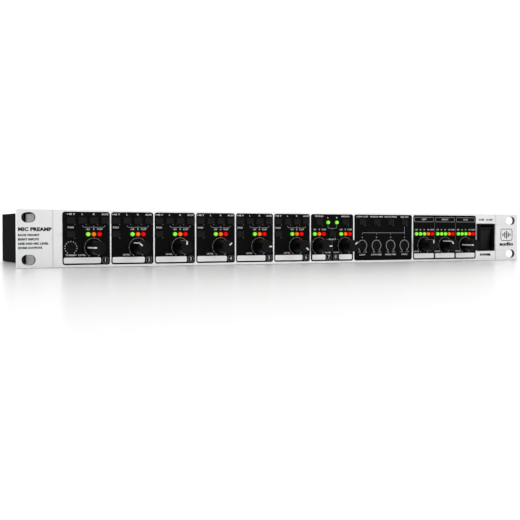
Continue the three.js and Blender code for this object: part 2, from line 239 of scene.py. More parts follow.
DARK_INK = coated("print_dark", (0.006, 0.006, 0.0065), 0.6, specular=0.1, vary=0.05)
KNOB_PLASTIC = coated("knob_black", (0.0036, 0.0036, 0.0038), 0.38, specular=0.09, grain=2600,
                      bump=0.08)
KEY_PLASTIC = coated("key_grey", (0.014, 0.014, 0.0145), 0.5, specular=0.06, grain=3200)
TRIM_PLASTIC = coated("trimmer_grey", (0.012, 0.012, 0.0125), 0.5, specular=0.06, grain=3200)
SWITCH_PLASTIC = coated("switch_black", (0.010, 0.010, 0.0103), 0.38, specular=0.12, grain=2600)
HOUSING_PLASTIC = coated("housing_black", (0.003, 0.003, 0.0032), 0.5, specular=0.05, grain=2600)
# Dark grey for the walls of the panel's holes: painted shade inside the holes, far darker than the
# silver they are cut from.
HOLE_WALL_SHADE = coated("hole_wall_shade_paint", (0.05, 0.05, 0.052), 0.5, metallic=0.5, vary=0.1)
POINTER_WHITE = coated("pointer_white", (0.94, 0.94, 0.94), 0.5, specular=0.3, vary=0.03)
BOARD_GREEN = coated("circuit_board", (0.02, 0.11, 0.045), 0.45, vary=0.25, patch=240)
NICKEL = coated("connector_metal", (0.62, 0.61, 0.59), 0.28, metallic=1.0, vary=0.06)
GOLD = coated("gold_contact", (0.75, 0.53, 0.20), 0.28, metallic=1.0, vary=0.06)
SCREW_STEEL = coated("screw_steel", (0.055, 0.055, 0.06), 0.4, metallic=0.6, vary=0.1)
SOCKET_PLASTIC = coated("socket_black", (0.014, 0.014, 0.015), 0.42, specular=0.35)
RED_PLASTIC = coated("phono_red", (0.35, 0.012, 0.010), 0.4, vary=0.05)
WHITE_PLASTIC = coated("phono_white", (0.62, 0.61, 0.58), 0.4, vary=0.04)
LAMP_GREEN = lit("lamp_green", (0.10, 0.55, 0.015), (0.32, 1.0, 0.07), 1.0)
LAMP_ORANGE = lit("lamp_orange", (0.70, 0.05, 0.0), (1.0, 0.19, 0.01), 1.0)
LAMP_RED = lit("lamp_red", (0.60, 0.0, 0.0), (1.0, 0.004, 0.004), 1.0)

# ------------------------------------------------------------------ shape helpers


def arc(x, z, r, start, end, steps):
    """Points from start to end, in degrees clockwise from straight up."""
    points = []
    for i in range(steps + 1):
        turn = math.radians(start + (end - start) * i / steps)
        points.append((x + r * math.sin(turn), z + r * math.cos(turn)))
    return points


def circle(x, z, r, sides=32):
    return arc(x, z, r, 0, 360, sides)[:-1]


def rounded(x0, x1, z0, z1, r, steps=4):
    """A rectangle with round corners."""
    corners = [(x1 - r, z1 - r, 0), (x1 - r, z0 + r, 90), (x0 + r, z0 + r, 180),
               (x0 + r, z1 - r, 270)]
    points = []
    for x, z, start in corners:
        points += arc(x, z, r, start, start + 90, steps)
    return points


def rounded_at(x, z, width, height, r, steps=4):
    return rounded(x - width / 2, x + width / 2, z - height / 2, z + height / 2, r, steps)


def obround(x, z, length, height, steps=12):
    r = height / 2
    reach = length / 2 - r
    return arc(x + reach, z, r, 0, 180, steps) + arc(x - reach, z, r, 180, 360, steps)


def stroke(points, width):
    """The outline of a line of that width drawn through the points."""
    left, right = [], []
    for i, point in enumerate(points):
        before = Vector(points[max(i - 1, 0)])
        after = Vector(points[min(i + 1, len(points) - 1)])
        along = (after - before).normalized()
        side = Vector((-along.y, along.x)) * (width / 2)
        left.append(tuple(Vector(point) + side))
        right.append(tuple(Vector(point) - side))
    return left + right[::-1]


def signed_area(loop):
    total = 0.0
    for (x0, z0), (x1, z1) in zip(loop, loop[1:] + loop[:1]):
        total += x0 * z1 - x1 * z0
    return total / 2


def grown(loop, distance):
    """The loop moved outwards by distance, or inwards if it is negative."""
    sign = 1 if signed_area(loop) > 0 else -1
    count = len(loop)
    moved = []
    for i in range(count):
        here = Vector(loop[i])
        back = (here - Vector(loop[i - 1])).normalized()
        ahead = (Vector(loop[(i + 1) % count]) - here).normalized()
        normal = Vector((back.y + ahead.y, -back.x - ahead.x)).normalized() * sign
        lean = max(0.4, normal.dot(Vector((back.y, -back.x)) * sign))
        moved.append(tuple(here + normal * (distance / lean)))
    return moved


def add_plate(bm, outline, holes, front, back, chamfer=0.0, wall=0):
    """Adds a closed flat plate in the XZ plane, its front edges chamfered.

    The walls of its holes get the material slot numbered wall.
    """
    loops = [outline] + holes
    flat = [[Vector((x, z, 0)) for x, z in loop] for loop in loops]
    triangles = tessellate_polygon(flat)
    levels = []
    if chamfer:
        eased = [grown(outline, -chamfer)] + [grown(hole, chamfer) for hole in holes]
        levels.append((eased, front))
        levels.append((loops, front + math.copysign(chamfer, back - front)))
    else:
        levels.append((loops, front))
    levels.append((loops, back))
    rows = []
    for shapes, y in levels:
        rows.append([[bm.verts.new((x, y, z)) for x, z in loop] for loop in shapes])
    for near, far in zip(rows, rows[1:]):
        for number, (low, high) in enumerate(zip(near, far)):
            count = len(low)
            for i in range(count):
                j = (i + 1) % count
                face = bm.faces.new((low[i], low[j], high[j], high[i]))
                face.material_index = wall if number else 0
    for row in (rows[0], rows[-1]):
        verts = [v for loop in row for v in loop]
        for a, b, c in triangles:
            bm.faces.new((verts[a], verts[b], verts[c]))


def add_loft(bm, sections, ring=False, core=None):
    """Adds a closed skin through the sections, capped at both ends or joined in a ring."""
    rows = [[bm.verts.new(point) for point in section] for section in sections]
    following = rows[1:] + rows[:1] if ring else rows[1:]
    for low, high in zip(rows, following):
        count = len(low)
        for i in range(count):
            j = (i + 1) % count
            bm.faces.new((low[i], low[j], high[j], high[i]))
    if not ring:
        bm.faces.new(rows[0][::-1])
        bm.faces.new(rows[-1])
    if core:
        for row, value in zip(rows, core):
            for vert in row:
                vert[bm.verts.layers.float["core"]] = value


def standing(loop, y):
    """A flat loop of x and z placed at depth y."""
    return [(x, y, z) for x, z in loop]


def add_turned(bm, profile, x=0.0, z=0.0, sides=48, ring=False):
    """Adds a turned solid about an axis along Y through x and z."""
    add_loft(bm, [standing(circle(x, z, r, sides), y) for r, y in profile], ring)


def add_box(bm, x0, x1, y0, y1, z0, z1, r=0.3 * MM):
    """Adds a block with rounded upright edges and softened ends."""
    ease = min(r, (y1 - y0) / 4)
    full = rounded(x0, x1, z0, z1, r)
    small = grown(full, -ease)
    sections = [(small, y0), (full, y0 + ease), (full, y1 - ease), (small, y1)]
    add_loft(bm, [standing(loop, y) for loop, y in sections])


def finished(bm, name, *materials, sharp=35):
    """The mesh made from bm, with smooth shading that breaks at sharp edges."""
    bmesh.ops.recalc_face_normals(bm, faces=bm.faces)
    mesh = bpy.data.meshes.new(name)
    bm.to_mesh(mesh)
    bm.free()
    for material in materials:
        mesh.materials.append(material)
    mesh.shade_smooth()
    mesh.set_sharp_from_angle(angle=math.radians(sharp))
    return mesh


def add_piece(name, mesh, body, slot, *nodes, at=(0, 0, 0), turn=0.0):
    """Places a piece on a CAD body and hides the CAD nodes that it stands for; slot, the name of its
    finish, is not used.
    """
    piece = bpy.data.objects.new(name, mesh)
    piece.location = at
    piece.rotation_euler = (0, turn, 0)
    SCENE.collection.objects.link(piece)
    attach(piece, body)
    if nodes:
        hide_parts(*nodes)
    return piece


def dress(node, material, bevel=0.0, segments=2):
    """Gives a CAD node its material and, where its edges show, a small bevel."""
    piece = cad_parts[node]
    piece.data.materials.clear()
    piece.data.materials.append(material)
    if bevel:
        edge = piece.modifiers.new("edges", "BEVEL")
        edge.width = bevel
        edge.segments = segments
        edge.limit_method = "ANGLE"
        edge.angle_limit = math.radians(40)
        edge.harden_normals = True


# ------------------------------------------------------------------ front panel


def key_places():
    return [centre(node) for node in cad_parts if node.endswith("_button")]


def meter_lamps():
    """Every lamp of the meters, as x, z and colour, from left to right."""
    lamps = []
    for x in CHANNEL_X:
        for step, colour in zip((-1, 0, 1), ("green", "orange", "red")):
            lamps.append((x + step * METER_PITCH, METER_Z, colour))
    for x in BUS_X:
        colours = ("green", "green", "green", "orange", "red")
        for step, colour in zip((-2, -1, 0, 1, 2), colours):
            lamps.append((x + step * BUS_METER_PITCH, METER_Z, colour))
    for side in (-1, 1):
        lamps.append((STEREO_MID + side * BUS_LAMP_HALF, BUS_LAMP_Z, "green"))
    return lamps


KEYS = key_places()
LAMPS = meter_lamps()
TRIMMERS = [centre("threshold_trimmer").x] + EQ_X


def control_holes(x0, x1, ease=0.0):
    """The panel's openings between x0 and x1, each wider by ease all round."""
    holes = []
    for place in KEYS:
        width, height = [side + 2 * (KEY_CLEAR + ease) for side in KEY_SIZE]
        if x0 < place.x < x1:
            holes.append(rounded_at(place.x, place.z, width, height, 0.5 * MM))
    for x in CHANNEL_X + BUS_X:
        if x0 < x < x1:
            holes.append(circle(x, KNOB_Z, KNOB_HOLE_R + ease, 28))
    for x in TRIMMERS:
        if x0 < x < x1:
            holes.append(circle(x, KNOB_Z, TRIMMER_HOLE_R + ease, 32))
    for x, z, _ in LAMPS:
        if x0 < x < x1:
            holes.append(circle(x, z, LAMP_HOLE_R + ease, 20))
    return holes


def make_panel():
    holes = control_holes(PANEL_LOW.x, PANEL_HIGH.x)
    for side in (-1, 1):
        for z in SLOT_Z:
            holes.append(obround(side * SLOT_X, z, 10.2 * MM, 7.4 * MM))
    holes.append(rounded_at(SWITCH_MID.x, SWITCH_MID.z, 18.8 * MM, 24.6 * MM, 0.8 * MM))
    outline = rounded(PANEL_LOW.x, PANEL_HIGH.x, PANEL_LOW.z, PANEL_HIGH.z, 0.8 * MM)
    bm = bmesh.new()
    # The walls of the holes take the second material, which is painted shade.
    add_plate(bm, outline, holes, FACE, FACE + PANEL_THICK, 0.2 * MM, wall=1)
    mesh = finished(bm, "front_panel_plate", SILVER, HOLE_WALL_SHADE)
    add_piece("front_panel_plate", mesh, "case", "silver_panel", "front_panel")
    bm = bmesh.new()
    back = FACE + PANEL_THICK
    for x in FOOT_X:
        add_box(bm, x - 4 * MM, x + 4 * MM, back, back + 8 * MM, 1.5 * MM, 6 * MM, 0.4 * MM)
        rows = [(1.1, 0.2), (1.4, 0.5), (1.4, 2.0)]
        add_loft(bm, [[(px, py, z * MM) for px, py in circle(x, back + 4 * MM, r * MM, 20)]
                      for r, z in rows])
    mesh = finished(bm, "panel_feet", ZINC)
    add_piece("panel_feet", mesh, "case", "zinc_steel", "front_panel")


def field_edges():
    """The left and right edge of every black field."""
    edges = []
    for i, x in enumerate(MIC_X):
        left = FIRST_FIELD_LEFT if i == 0 else FIELD_LEFT
        edges.append((x - left, x + FIELD_RIGHT))
    edges.append((STEREO_MID - 21.5 * MM, STEREO_MID + 21.5 * MM))
    edges.append((EQ_X[0] - 8.35 * MM, EQ_X[-1] + 8.3 * MM))
    edges.append((BUS_X[0] - 12.35 * MM, BUS_X[-1] + 12.25 * MM))
    return edges


FIELDS = field_edges()


def make_fields():
    bm = bmesh.new()
    for x0, x1 in FIELDS:
        outline = rounded(x0, x1, FIELD_LOW, FIELD_HIGH, FIELD_R, 6)
        add_plate(bm, outline, control_holes(x0, x1, 0.05 * MM), FACE - PRINT, FACE)
    mesh = finished(bm, "control_fields", FIELD_INK)
    add_piece("control_fields", mesh, "case", "print_black")


# ------------------------------------------------------------------ printed lines and labels


class Ink:
    """Printed shapes and letters of one colour, gathered into one thin closed mesh."""

    def __init__(self, name, slot, material, behind=False):
        self.name = name
        self.slot = slot
        self.material = material
        self.behind = behind
        self.shapes = []
        self.letters = []

    def level(self, depth):
        """The place of a depth below the printed face, which is the front or the rear plate."""
        return REAR - depth if self.behind else FACE + depth

    def shape(self, outline, *holes):
        self.shapes.append((outline, list(holes)))

    def line(self, points, width):
        self.shape(stroke(points, width))

    def frame(self, x, z, width, height, r, line):
        outer = rounded_at(x, z, width, height, r)
        self.shape(outer, grown(outer, -line))

    def text(self, words, x, z, height, align="CENTER", bold=0.05 * MM, wide=1.35):
        self.letters.append((words, x, z, height, align, bold, wide))

    def letter_objects(self):
        made = []
        for words, x, z, height, align, bold, wide in self.letters:
            curve = bpy.data.curves.new("letters", "FONT")
            curve.body = words
            curve.size = height / CAP_SHARE
            curve.align_x = align
            curve.align_y = "CENTER"
            curve.resolution_u = 2
            curve.extrude = (INK - INK_BACK) / 2
            curve.offset = bold
            curve.space_character = 1.04
            letters = bpy.data.objects.new("letters", curve)
            letters.rotation_euler = (math.pi / 2, 0, math.pi if self.behind else 0)
            letters.location = (x, self.level(-(INK + INK_BACK) / 2), z)
            letters.scale = (wide, 1, 1)
            SCENE.collection.objects.link(letters)
            made.append(letters)
        return made

    def finish(self, body="case"):
        bm = bmesh.new()
        for outline, holes in self.shapes:
            add_plate(bm, outline, holes, self.level(-INK), self.level(-INK_BACK))
        objects = self.letter_objects()
        graph = bpy.context.evaluated_depsgraph_get()
        for letters in objects:
            mesh = bpy.data.meshes.new_from_object(letters.evaluated_get(graph))
            mesh.transform(letters.matrix_world)
            bm.from_mesh(mesh)
            bpy.data.meshes.remove(mesh)
            curve = letters.data
            bpy.data.objects.remove(letters)
            bpy.data.curves.remove(curve)
        bmesh.ops.remove_doubles(bm, verts=bm.verts, dist=0.5e-6)
        mesh = finished(bm, self.name, self.material)
        add_piece(self.name, mesh, body, self.slot)


white = Ink("white_print", "print_white", WHITE_INK)
line = Ink("line_print", "print_grey", LINE_INK)
grey = Ink("grey_print", "print_grey", GREY_INK)
dark = Ink("dark_print", "print_black", DARK_INK)
crease_shade = Ink("crease_shade_lines", "silver_panel", CREASE_SHADE_INK)
strips = Ink("label_strips", "print_white", STRIP_INK)

LABEL = 1.35 * MM
SMALL = 1.2 * MM
CAP_SHARE = 0.72
LABEL_Z = 40.5 * MM
UNIT_Z = 29.1 * MM
LOW_LABEL_Z = 9.25 * MM
SCALE_R = 7.3 * MM
RING_R = 4.75 * MM
MARK_OFFSET = Vector((3.0, -2.95)) * MM
HAIR = 0.3 * MM


def print_scale(x):
    """The grey scale round a level knob, with ticks and heavier end marks."""
    line.line(arc(x, KNOB_Z, SCALE_R, -150, 150, 60), 0.2 * MM)
    for turn in range(-150, 151, 30):
        reach = 0.55 if abs(turn) == 150 else 0.4
        inner, outer = SCALE_R - reach * MM, SCALE_R + reach * MM
        ends = [arc(x, KNOB_Z, r, turn, turn, 1)[0] for r in (inner, outer)]
        line.line(ends, (0.5 if abs(turn) == 150 else 0.35) * MM)


def print_number(words, x):
    z = sum(STRIP_Z) / 2
    grey.frame(x, z, 4.8 * MM, 4.8 * MM, 1.2 * MM, 0.4 * MM)
    white.text(words, x, z, 2.8 * MM, bold=0.08 * MM, wide=1.1)


def print_strip(x0, x1):
    strips.shape(rounded(x0, x1, *STRIP_Z, 0.9 * MM))


def print_key_marks():
    for place in KEYS:
        mark = (place.x + MARK_OFFSET.x, place.z + MARK_OFFSET.y)
        grey.shape(rounded_at(*mark, 0.9 * MM, 0.55 * MM, 0.12 * MM, 2))


def print_channel(i, x, field):
    left = field[0]
    for step, words in zip((-2, -1, 0, 1), ("+48 V", "L", "R", "AUX")):
        white.text(words, x + step * KEY_PITCH, LABEL_Z, LABEL)
    white.text("PAD", x - 2 * KEY_PITCH, 30.4 * MM, LABEL)
    half = KEY_PITCH
    drop, low, high = 1.3 * MM, 30.6 * MM, 32.0 * MM
    bracket = [(x - half, high), (x - half + 0.4 * drop, low + 0.3 * (high - low)),
               (x - half + drop, low), (x + half - drop, low),
               (x + half - 0.4 * drop, low + 0.3 * (high - low)), (x + half, high)]
    line.line(bracket, HAIR)
    line.line([(x, low), (x, high)], HAIR)
    for step, words in zip((-1, 0, 1), ("-24", "0", "CLIP")):
        white.text(words, x + step * 4.7 * MM, UNIT_Z, SMALL)
    print_scale(x)
    white.text("LEVEL", x - 9.4 * MM, LOW_LABEL_Z, SMALL)
    print_strip(left + 0.95 * MM, x + 5.6 * MM)
    print_number(str(i + 1), x + 9.2 * MM)


def print_threshold():
    x = TRIMMERS[0]
    for turn in range(-144, 145, 24):
        ends = [arc(x, KNOB_Z, r * MM, turn, turn, 1)[0] for r in (4.25, 5.15)]
        line.line(ends, 0.9 * MM)
    white.text("THRESH", x, LOW_LABEL_Z, SMALL)


def print_stereo():
    mid = STEREO_MID
    for x in STEREO_X:
        white.text("MONO", x, LABEL_Z, LABEL)
        for step, words in zip((-1, 0, 1), ("-24", "0", "CLIP")):
            white.text(words, x + step * 4.6 * MM, UNIT_Z, SMALL)
        print_scale(x)
    for side, words in ((-1, "L"), (1, "R")):
        white.text(words, mid + side * BUS_LAMP_HALF, 39.3 * MM, LABEL)
        white.text("LEVEL", mid + side * 4.25 * MM, LOW_LABEL_Z, SMALL)
        line.line([(mid + side * 4.7 * MM, 20.6 * MM), (mid + side * 5.8 * MM, 20.6 * MM)], HAIR)
        print_number(str(7 if side < 0 else 8), mid + side * 3.45 * MM)
        inner, outer = 6.9 * MM, 20.1 * MM
        print_strip(*sorted((mid + side * inner, mid + side * outer)))
    low, high, half = 30.2 * MM, 32.8 * MM, BUS_LAMP_HALF
    cup = [(mid - half, high), (mid - half, low + 0.8 * MM), (mid - half + 0.3 * MM, low + 0.25 * MM),
           (mid - half + 0.9 * MM, low), (mid + half - 0.9 * MM, low),
           (mid + half - 0.3 * MM, low + 0.25 * MM), (mid + half, low + 0.8 * MM), (mid + half, high)]
    line.line(cup, HAIR)
    line.line([(mid, low), (mid, low - 1.3 * MM)], HAIR)
    white.text("SELECT", mid, 20.6 * MM, SMALL)
    grey.line([(mid, 19.2 * MM), (mid, 10.4 * MM)], HAIR)


def print_equaliser():
    for x, words in zip(EQ_X, ("LOW CUT", "MONO MIX", "MUTE MICS", "EQ ON")):
        white.text(words, x, LABEL_Z, LABEL)
    rail = 26.3 * MM
    grey_width = 0.32 * MM
    first, last = EQ_X[0], EQ_X[-1]
    corner = 0.6 * MM
    line.line([(first, rail - 1.6 * MM), (first, rail - corner), (first + corner, rail),
               (last, rail)], grey_width)
    line.line([(last, 32.0 * MM), (last, rail - 1.6 * MM)], grey_width)
    for x in EQ_X[1:-1]:
        line.line([(x, rail), (x, rail - 1.6 * MM)], grey_width)
    for x, words in zip(EQ_X, ("LOW", "LOW MID", "HIGH MID", "HIGH")):
        line.shape(circle(x, 22.3 * MM, 0.55 * MM, 16))
        line.line(arc(x, KNOB_Z, RING_R, -152, 152, 48), 0.55 * MM)
        for side, label in ((-1, "-15"), (1, "+15")):
            heel = arc(x, KNOB_Z, RING_R, side * 152, side * 152, 1)[0]
            line.line([heel, (heel[0] + side * 1.4 * MM, heel[1])], 0.5 * MM)
            line.text(label, x + side * 3.1 * MM, LOW_LABEL_Z, SMALL)
        white.text(words, x, 6.8 * MM, LABEL)


def print_outputs():
    for x, words in zip(BUS_X, ("LEFT", "RIGHT", "AUX")):
        white.text(words, x, 38.5 * MM, LABEL)
        line.frame(x - 0.1 * MM, 38.4 * MM, 22.2 * MM, 4.4 * MM, 0.9 * MM, 0.35 * MM)
        for step, label in zip((-2, -1, 0, 1, 2), ("-20", "-6", "0", "+6", "CLIP")):
            white.text(label, x + step * BUS_METER_PITCH, UNIT_Z, SMALL)
        print_scale(x)
        white.text("LEVEL", x - 8.6 * MM, LOW_LABEL_Z, SMALL)
        print_strip(x - 11.2 * MM, x + 10.9 * MM)
    for left, right in zip(BUS_X, BUS_X[1:]):
        middle = (left + right) / 2
        grey.line([(middle, 36.3 * MM), (middle, FIELD_LOW + 0.3 * MM)], 0.35 * MM)


def print_ears():
    """Plain black wording on the silver: what the unit is, on and off, and a generic mark."""
    left = PANEL_LOW.x + 1.0 * MM
    dark.text("MIC PREAMP", left, 28.9 * MM, 2.6 * MM, "LEFT", bold=0.2 * MM, wide=1.2)
    rows = ("RACK MOUNT", "EIGHT INPUTS", "LINE AND MIC LEVEL", "ZONE OUTPUTS")
    for i, words in enumerate(rows):
        dark.text(words, left, (24.6 - 3.2 * i) * MM, 1.5 * MM, "LEFT", bold=0.12 * MM, wide=1.12)
    x, z = SWITCH_MID.x, 38.5 * MM
    dark.shape(circle(x - 7.5 * MM, z, 0.8 * MM, 20), circle(x - 7.5 * MM, z, 0.4 * MM, 20))
    dark.text("ON", x - 4.0 * MM, z, 1.5 * MM, bold=0.12 * MM)
    dark.shape(circle(x + 1.9 * MM, z, 0.85 * MM, 20))
    dark.text("OFF", x + 6.0 * MM, z, 1.5 * MM, bold=0.12 * MM)
    dark.text("POWER", x, 5.4 * MM, 1.9 * MM, bold=0.2 * MM)
    mark_x, mark_z = 227.7 * MM, 24.3 * MM
    dark.frame(mark_x, mark_z, 14.6 * MM, 11.6 * MM, 2.4 * MM, 0.55 * MM)
    for step, height in zip(range(-2, 3), (2.6, 5.4, 7.4, 4.2, 2.2)):
        bar_x = mark_x + step * 2.2 * MM
        dark.line([(bar_x, mark_z - height / 2 * MM), (bar_x, mark_z + height / 2 * MM)], 1.1 * MM)
    dark.text("audio", mark_x, 15.4 * MM, 3.3 * MM, bold=0.2 * MM, wide=1.6)
    # Two thin darker lines at the case's edges, drawn as a thin layer on the silver: painted shade of a
    # crease.
    for side in (-1, 1):
        shade_x = side * CASE_EDGE_X
        crease_shade.line([(shade_x, 0.4 * MM), (shade_x, 43.6 * MM)], 0.3 * MM)


def make_print():
    for i, x in enumerate(MIC_X):
        print_channel(i, x, FIELDS[i])
    print_threshold()
    print_stereo()
    print_equaliser()
    print_outputs()
    print_ears()
    print_key_marks()
    for ink in (white, line, grey, dark, crease_shade, strips):
        ink.finish()


# ------------------------------------------------------------------ lamps


def make_lamps():
    """A domed lens in each lamp hole, one piece for each colour."""
    materials = {"green": LAMP_GREEN, "orange": LAMP_ORANGE, "red": LAMP_RED}
    rings = [(1.0, 2.8, 0.0), (1.0, -0.3, 0.3), (1.0, -1.02, 0.45), (0.9, -1.2, 0.6),
             (0.7, -1.36, 0.7), (0.4, -1.48, 0.7), (0.12, -1.52, 0.7)]
    for colour, material in materials.items():
        bm = bmesh.new()
        bm.verts.layers.float.new("core")
        for x, z, kind in LAMPS:
            if kind != colour:
                continue
            sections = [standing(circle(x, z, r * LAMP_R, 24), FACE + y * MM) for r, y, _ in rings]
            add_loft(bm, sections, core=[core for _, _, core in rings])
        mesh = finished(bm, f"{colour}_lamps", material, sharp=60)
        add_piece(f"{colour}_lamps", mesh, "case", f"lamp_{colour}")


# ------------------------------------------------------------------ knobs, keys and trimmers

KNOB_OUTLINE = [(1.0, 13.0), (3.0, 13.0), (3.0, -0.8), (5.0, -0.8), (5.4, -1.0), (5.42, -1.6),
                (5.3, -2.2), (5.12, -13.7), (5.05, -14.1), (4.85, -14.38), (4.5, -14.5),
                (4.1, -14.46), (2.5, -14.36), (0.4, -14.3)]
POINTER_PATH = [(5.38, -1.9), (5.26, -4.5), (5.12, -13.5), (5.06, -14.0), (4.9, -14.3),
                (4.55, -14.46), (4.0, -14.44), (2.0, -14.34)]


def knob_mesh():
    bm = bmesh.new()
    add_turned(bm, [(r * MM, y * MM) for r, y in KNOB_OUTLINE], sides=64)
    return finished(bm, "level_knob", KNOB_PLASTIC)


def pointer_mesh():
    """The white line: along the barrel, over the front edge and part of the way to the centre."""
    half = 0.55 * MM
    proud = 0.04 * MM
    sunk = 0.35 * MM
    path = [Vector((r, y)) * MM for r, y in POINTER_PATH]
    sections = []
    for i, point in enumerate(path):
        along = (path[min(i + 1, len(path) - 1)] - path[max(i - 1, 0)]).normalized()
        out = Vector((-along.y, along.x))
        if out.x + -out.y < 0:
            out = -out
        top = point + out * proud
        foot = point - out * sunk
        corners = []
        for side, edge in ((-1, top), (1, top), (1, foot), (-1, foot)):
            reach = math.sqrt(max(edge.x ** 2 - half ** 2, 0)) if edge.x > half else edge.x
            corners.append((side * half, edge.y, reach))
        sections.append(corners)
    bm = bmesh.new()
    add_loft(bm, sections)
    return finished(bm, "level_pointer", POINTER_WHITE)


def make_knobs():
    knob = knob_mesh()
    pointer = pointer_mesh()
    for name, degrees in POINTS_AT.items():
        node = f"{name}_level_knob"
        at = (centre(node).x, FACE, KNOB_Z)
        turn = math.radians(degrees)
        add_piece(f"{node}_cap", knob, node, "knob_black", node, at=at, turn=turn)
        add_piece(f"{node}_pointer", pointer, node, "print_white", at=at, turn=turn)


def key_mesh():
    """A push button with rounded edges, a slightly hollow front and a square stem."""
    width, height = KEY_SIZE
    full = rounded_at(0, 0, width, height, 0.5 * MM, 5)
    stem = rounded_at(0, 0, 3.0 * MM, 3.0 * MM, 0.2 * MM, 5)
    steps = [(stem, 11.5), (stem, 4.5), (full, 4.5), (full, -0.85)]
    for inset, y in ((0.08, -1.05), (0.28, -1.18), (0.5, -1.2), (1.0, -1.15), (2.0, -1.1)):
        inset *= MM
        corner = max(0.1 * MM, 0.5 * MM - inset)
        steps.append((rounded_at(0, 0, width - 2 * inset, height - 2 * inset, corner, 5), y))
    bm = bmesh.new()
    add_loft(bm, [standing(loop, y * MM) for loop, y in steps])
    return finished(bm, "push_button", KEY_PLASTIC, sharp=50)


def make_keys():
    key = key_mesh()
    for node in sorted(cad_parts):
        if node.endswith("_button"):
            place = centre(node)
            add_piece(f"{node}_cap", key, node, "key_grey", node, at=(place.x, FACE, place.z))


def trimmer_mesh():
    """A recessed dial with an eased rim and a cross slot for a screwdriver."""
    profile = [(2.0, 11.5), (2.0, 5.5), (3.3, 5.5), (3.3, 0.75), (3.15, 0.5), (2.9, 0.4),
               (0.3, 0.4)]
    bm = bmesh.new()
    add_turned(bm, [(r * MM, y * MM) for r, y in profile], sides=48)
    dial = finished(bm, "trimmer_dial", TRIM_PLASTIC)
    cutter = bmesh.new()
    half, wide, deep = 2.4 * MM, 0.45 * MM, 1.4 * MM
    cross = [(-wide, half), (wide, half), (wide, wide), (half, wide), (half, -wide),
             (wide, -wide), (wide, -half), (-wide, -half), (-wide, -wide), (-half, -wide),
             (-half, wide), (-wide, wide)]
    add_plate(cutter, cross, [], -1.0 * MM, deep)
    return carved(dial, finished(cutter, "cross", TRIM_PLASTIC))


def carved(mesh, cutter):
    """The mesh with the cutter's shape taken out of it."""
    body = bpy.data.objects.new("carved", mesh)
    tool = bpy.data.objects.new("cutter", cutter)
    for piece in (body, tool):
        SCENE.collection.objects.link(piece)
    cut = body.modifiers.new("cut", "BOOLEAN")
    cut.operation = "DIFFERENCE"
    cut.solver = "EXACT"
    cut.object = tool
    graph = bpy.context.evaluated_depsgraph_get()
    result = bpy.data.meshes.new_from_object(body.evaluated_get(graph))
    result.name = mesh.name
    for piece in (body, tool):
        bpy.data.objects.remove(piece)
    result.shade_smooth()
    result.set_sharp_from_angle(angle=math.radians(35))
    return result


def make_trimmers():
    dial = trimmer_mesh()
    for node in ["threshold_trimmer"] + [f"{band}_trimmer" for band in BAND_NAMES]:
        at = (centre(node).x, FACE, KNOB_Z)
        add_piece(f"{node}_dial", dial, node, "trimmer_grey", node, at=at)


# ------------------------------------------------------------------ rear connectors

REAR_INSIDE = REAR - 1.2 * MM
XLR_X = [(-190 + 30 * i) * MM for i in range(6)]
XLR_Z = 20.5 * MM
PHONO_X = [0.0, 15 * MM]
PHONO_Z = [14.5 * MM, 29.5 * MM]
JACK_X = [50 * MM, 75 * MM, 100 * MM]
JACK_Z = 18 * MM
INLET_AT = (190 * MM, 20 * MM)
BOARD_Z = (7.3 * MM, 8.9 * MM)


def behind(y):
    """A depth in mm from the panel's front face, as a place in the row's frame."""
    return FACE + y * MM


def eight_sided(x, z, half_x, half_z, low, high):
    """A rectangle whose lower corners are cut by low and upper corners by high."""
    x0, x1, z0, z1 = x - half_x, x + half_x, z - half_z, z + half_z
    return [(x0 + high, z1), (x1 - high, z1), (x1, z1 - high), (x1, z0 + low), (x1 - low, z0),
            (x0 + low, z0), (x0, z0 + low), (x0, z1 - high)]


def make_rear_plate():
    half = 211.5 * MM
    holes = [circle(x, XLR_Z, 11.55 * MM, 48) for x in XLR_X]
    holes += [circle(x, z, 4.55 * MM, 24) for x in PHONO_X for z in PHONO_Z]
    holes += [circle(x, JACK_Z, 4.5 * MM, 24) for x in JACK_X]
    holes.append(eight_sided(*INLET_AT, 14.05 * MM, 10.05 * MM, 0.8 * MM, 0.8 * MM))
    outline = rounded(-half, half, 1.5 * MM, CASE_HIGH.z, 0.5 * MM)
    bm = bmesh.new()
    add_plate(bm, outline, holes, REAR, REAR_INSIDE, 0.15 * MM)
    add_box(bm, -half, half, REAR - 9 * MM, REAR_INSIDE, CASE_HIGH.z - 1.2 * MM, CASE_HIGH.z)
    mesh = finished(bm, "rear_plate", BLACK_PAINT)
    add_piece("rear_plate", mesh, "case", "black_paint", "rear_panel")


def xlr_mesh():
    """A round three-pin socket: shell, deep ring and pin disc."""
    bm = bmesh.new()
    profile = [(11.2, 150), (11.5, 150.3), (11.5, 177.3), (11.2, 177.6), (0.4, 177.6)]
    add_turned(bm, [(r * MM, y * MM) for r, y in profile], sides=64)
    socket = finished(bm, "xlr_socket", SOCKET_PLASTIC)
    tool = bmesh.new()
    groove = [(9.7, 165.6), (9.7, 179), (7.4, 179), (7.4, 165.6)]
    add_turned(tool, [(r * MM, y * MM) for r, y in groove], sides=64, ring=True)
    for turn in (180, 60, -60):
        x, z = arc(0, 0, 4 * MM, turn, turn, 1)[0]
        add_turned(tool, [(1.2 * MM, 168 * MM), (1.2 * MM, 179 * MM)], x, z, 20)
    return carved(socket, finished(tool, "xlr_cut", SOCKET_PLASTIC))


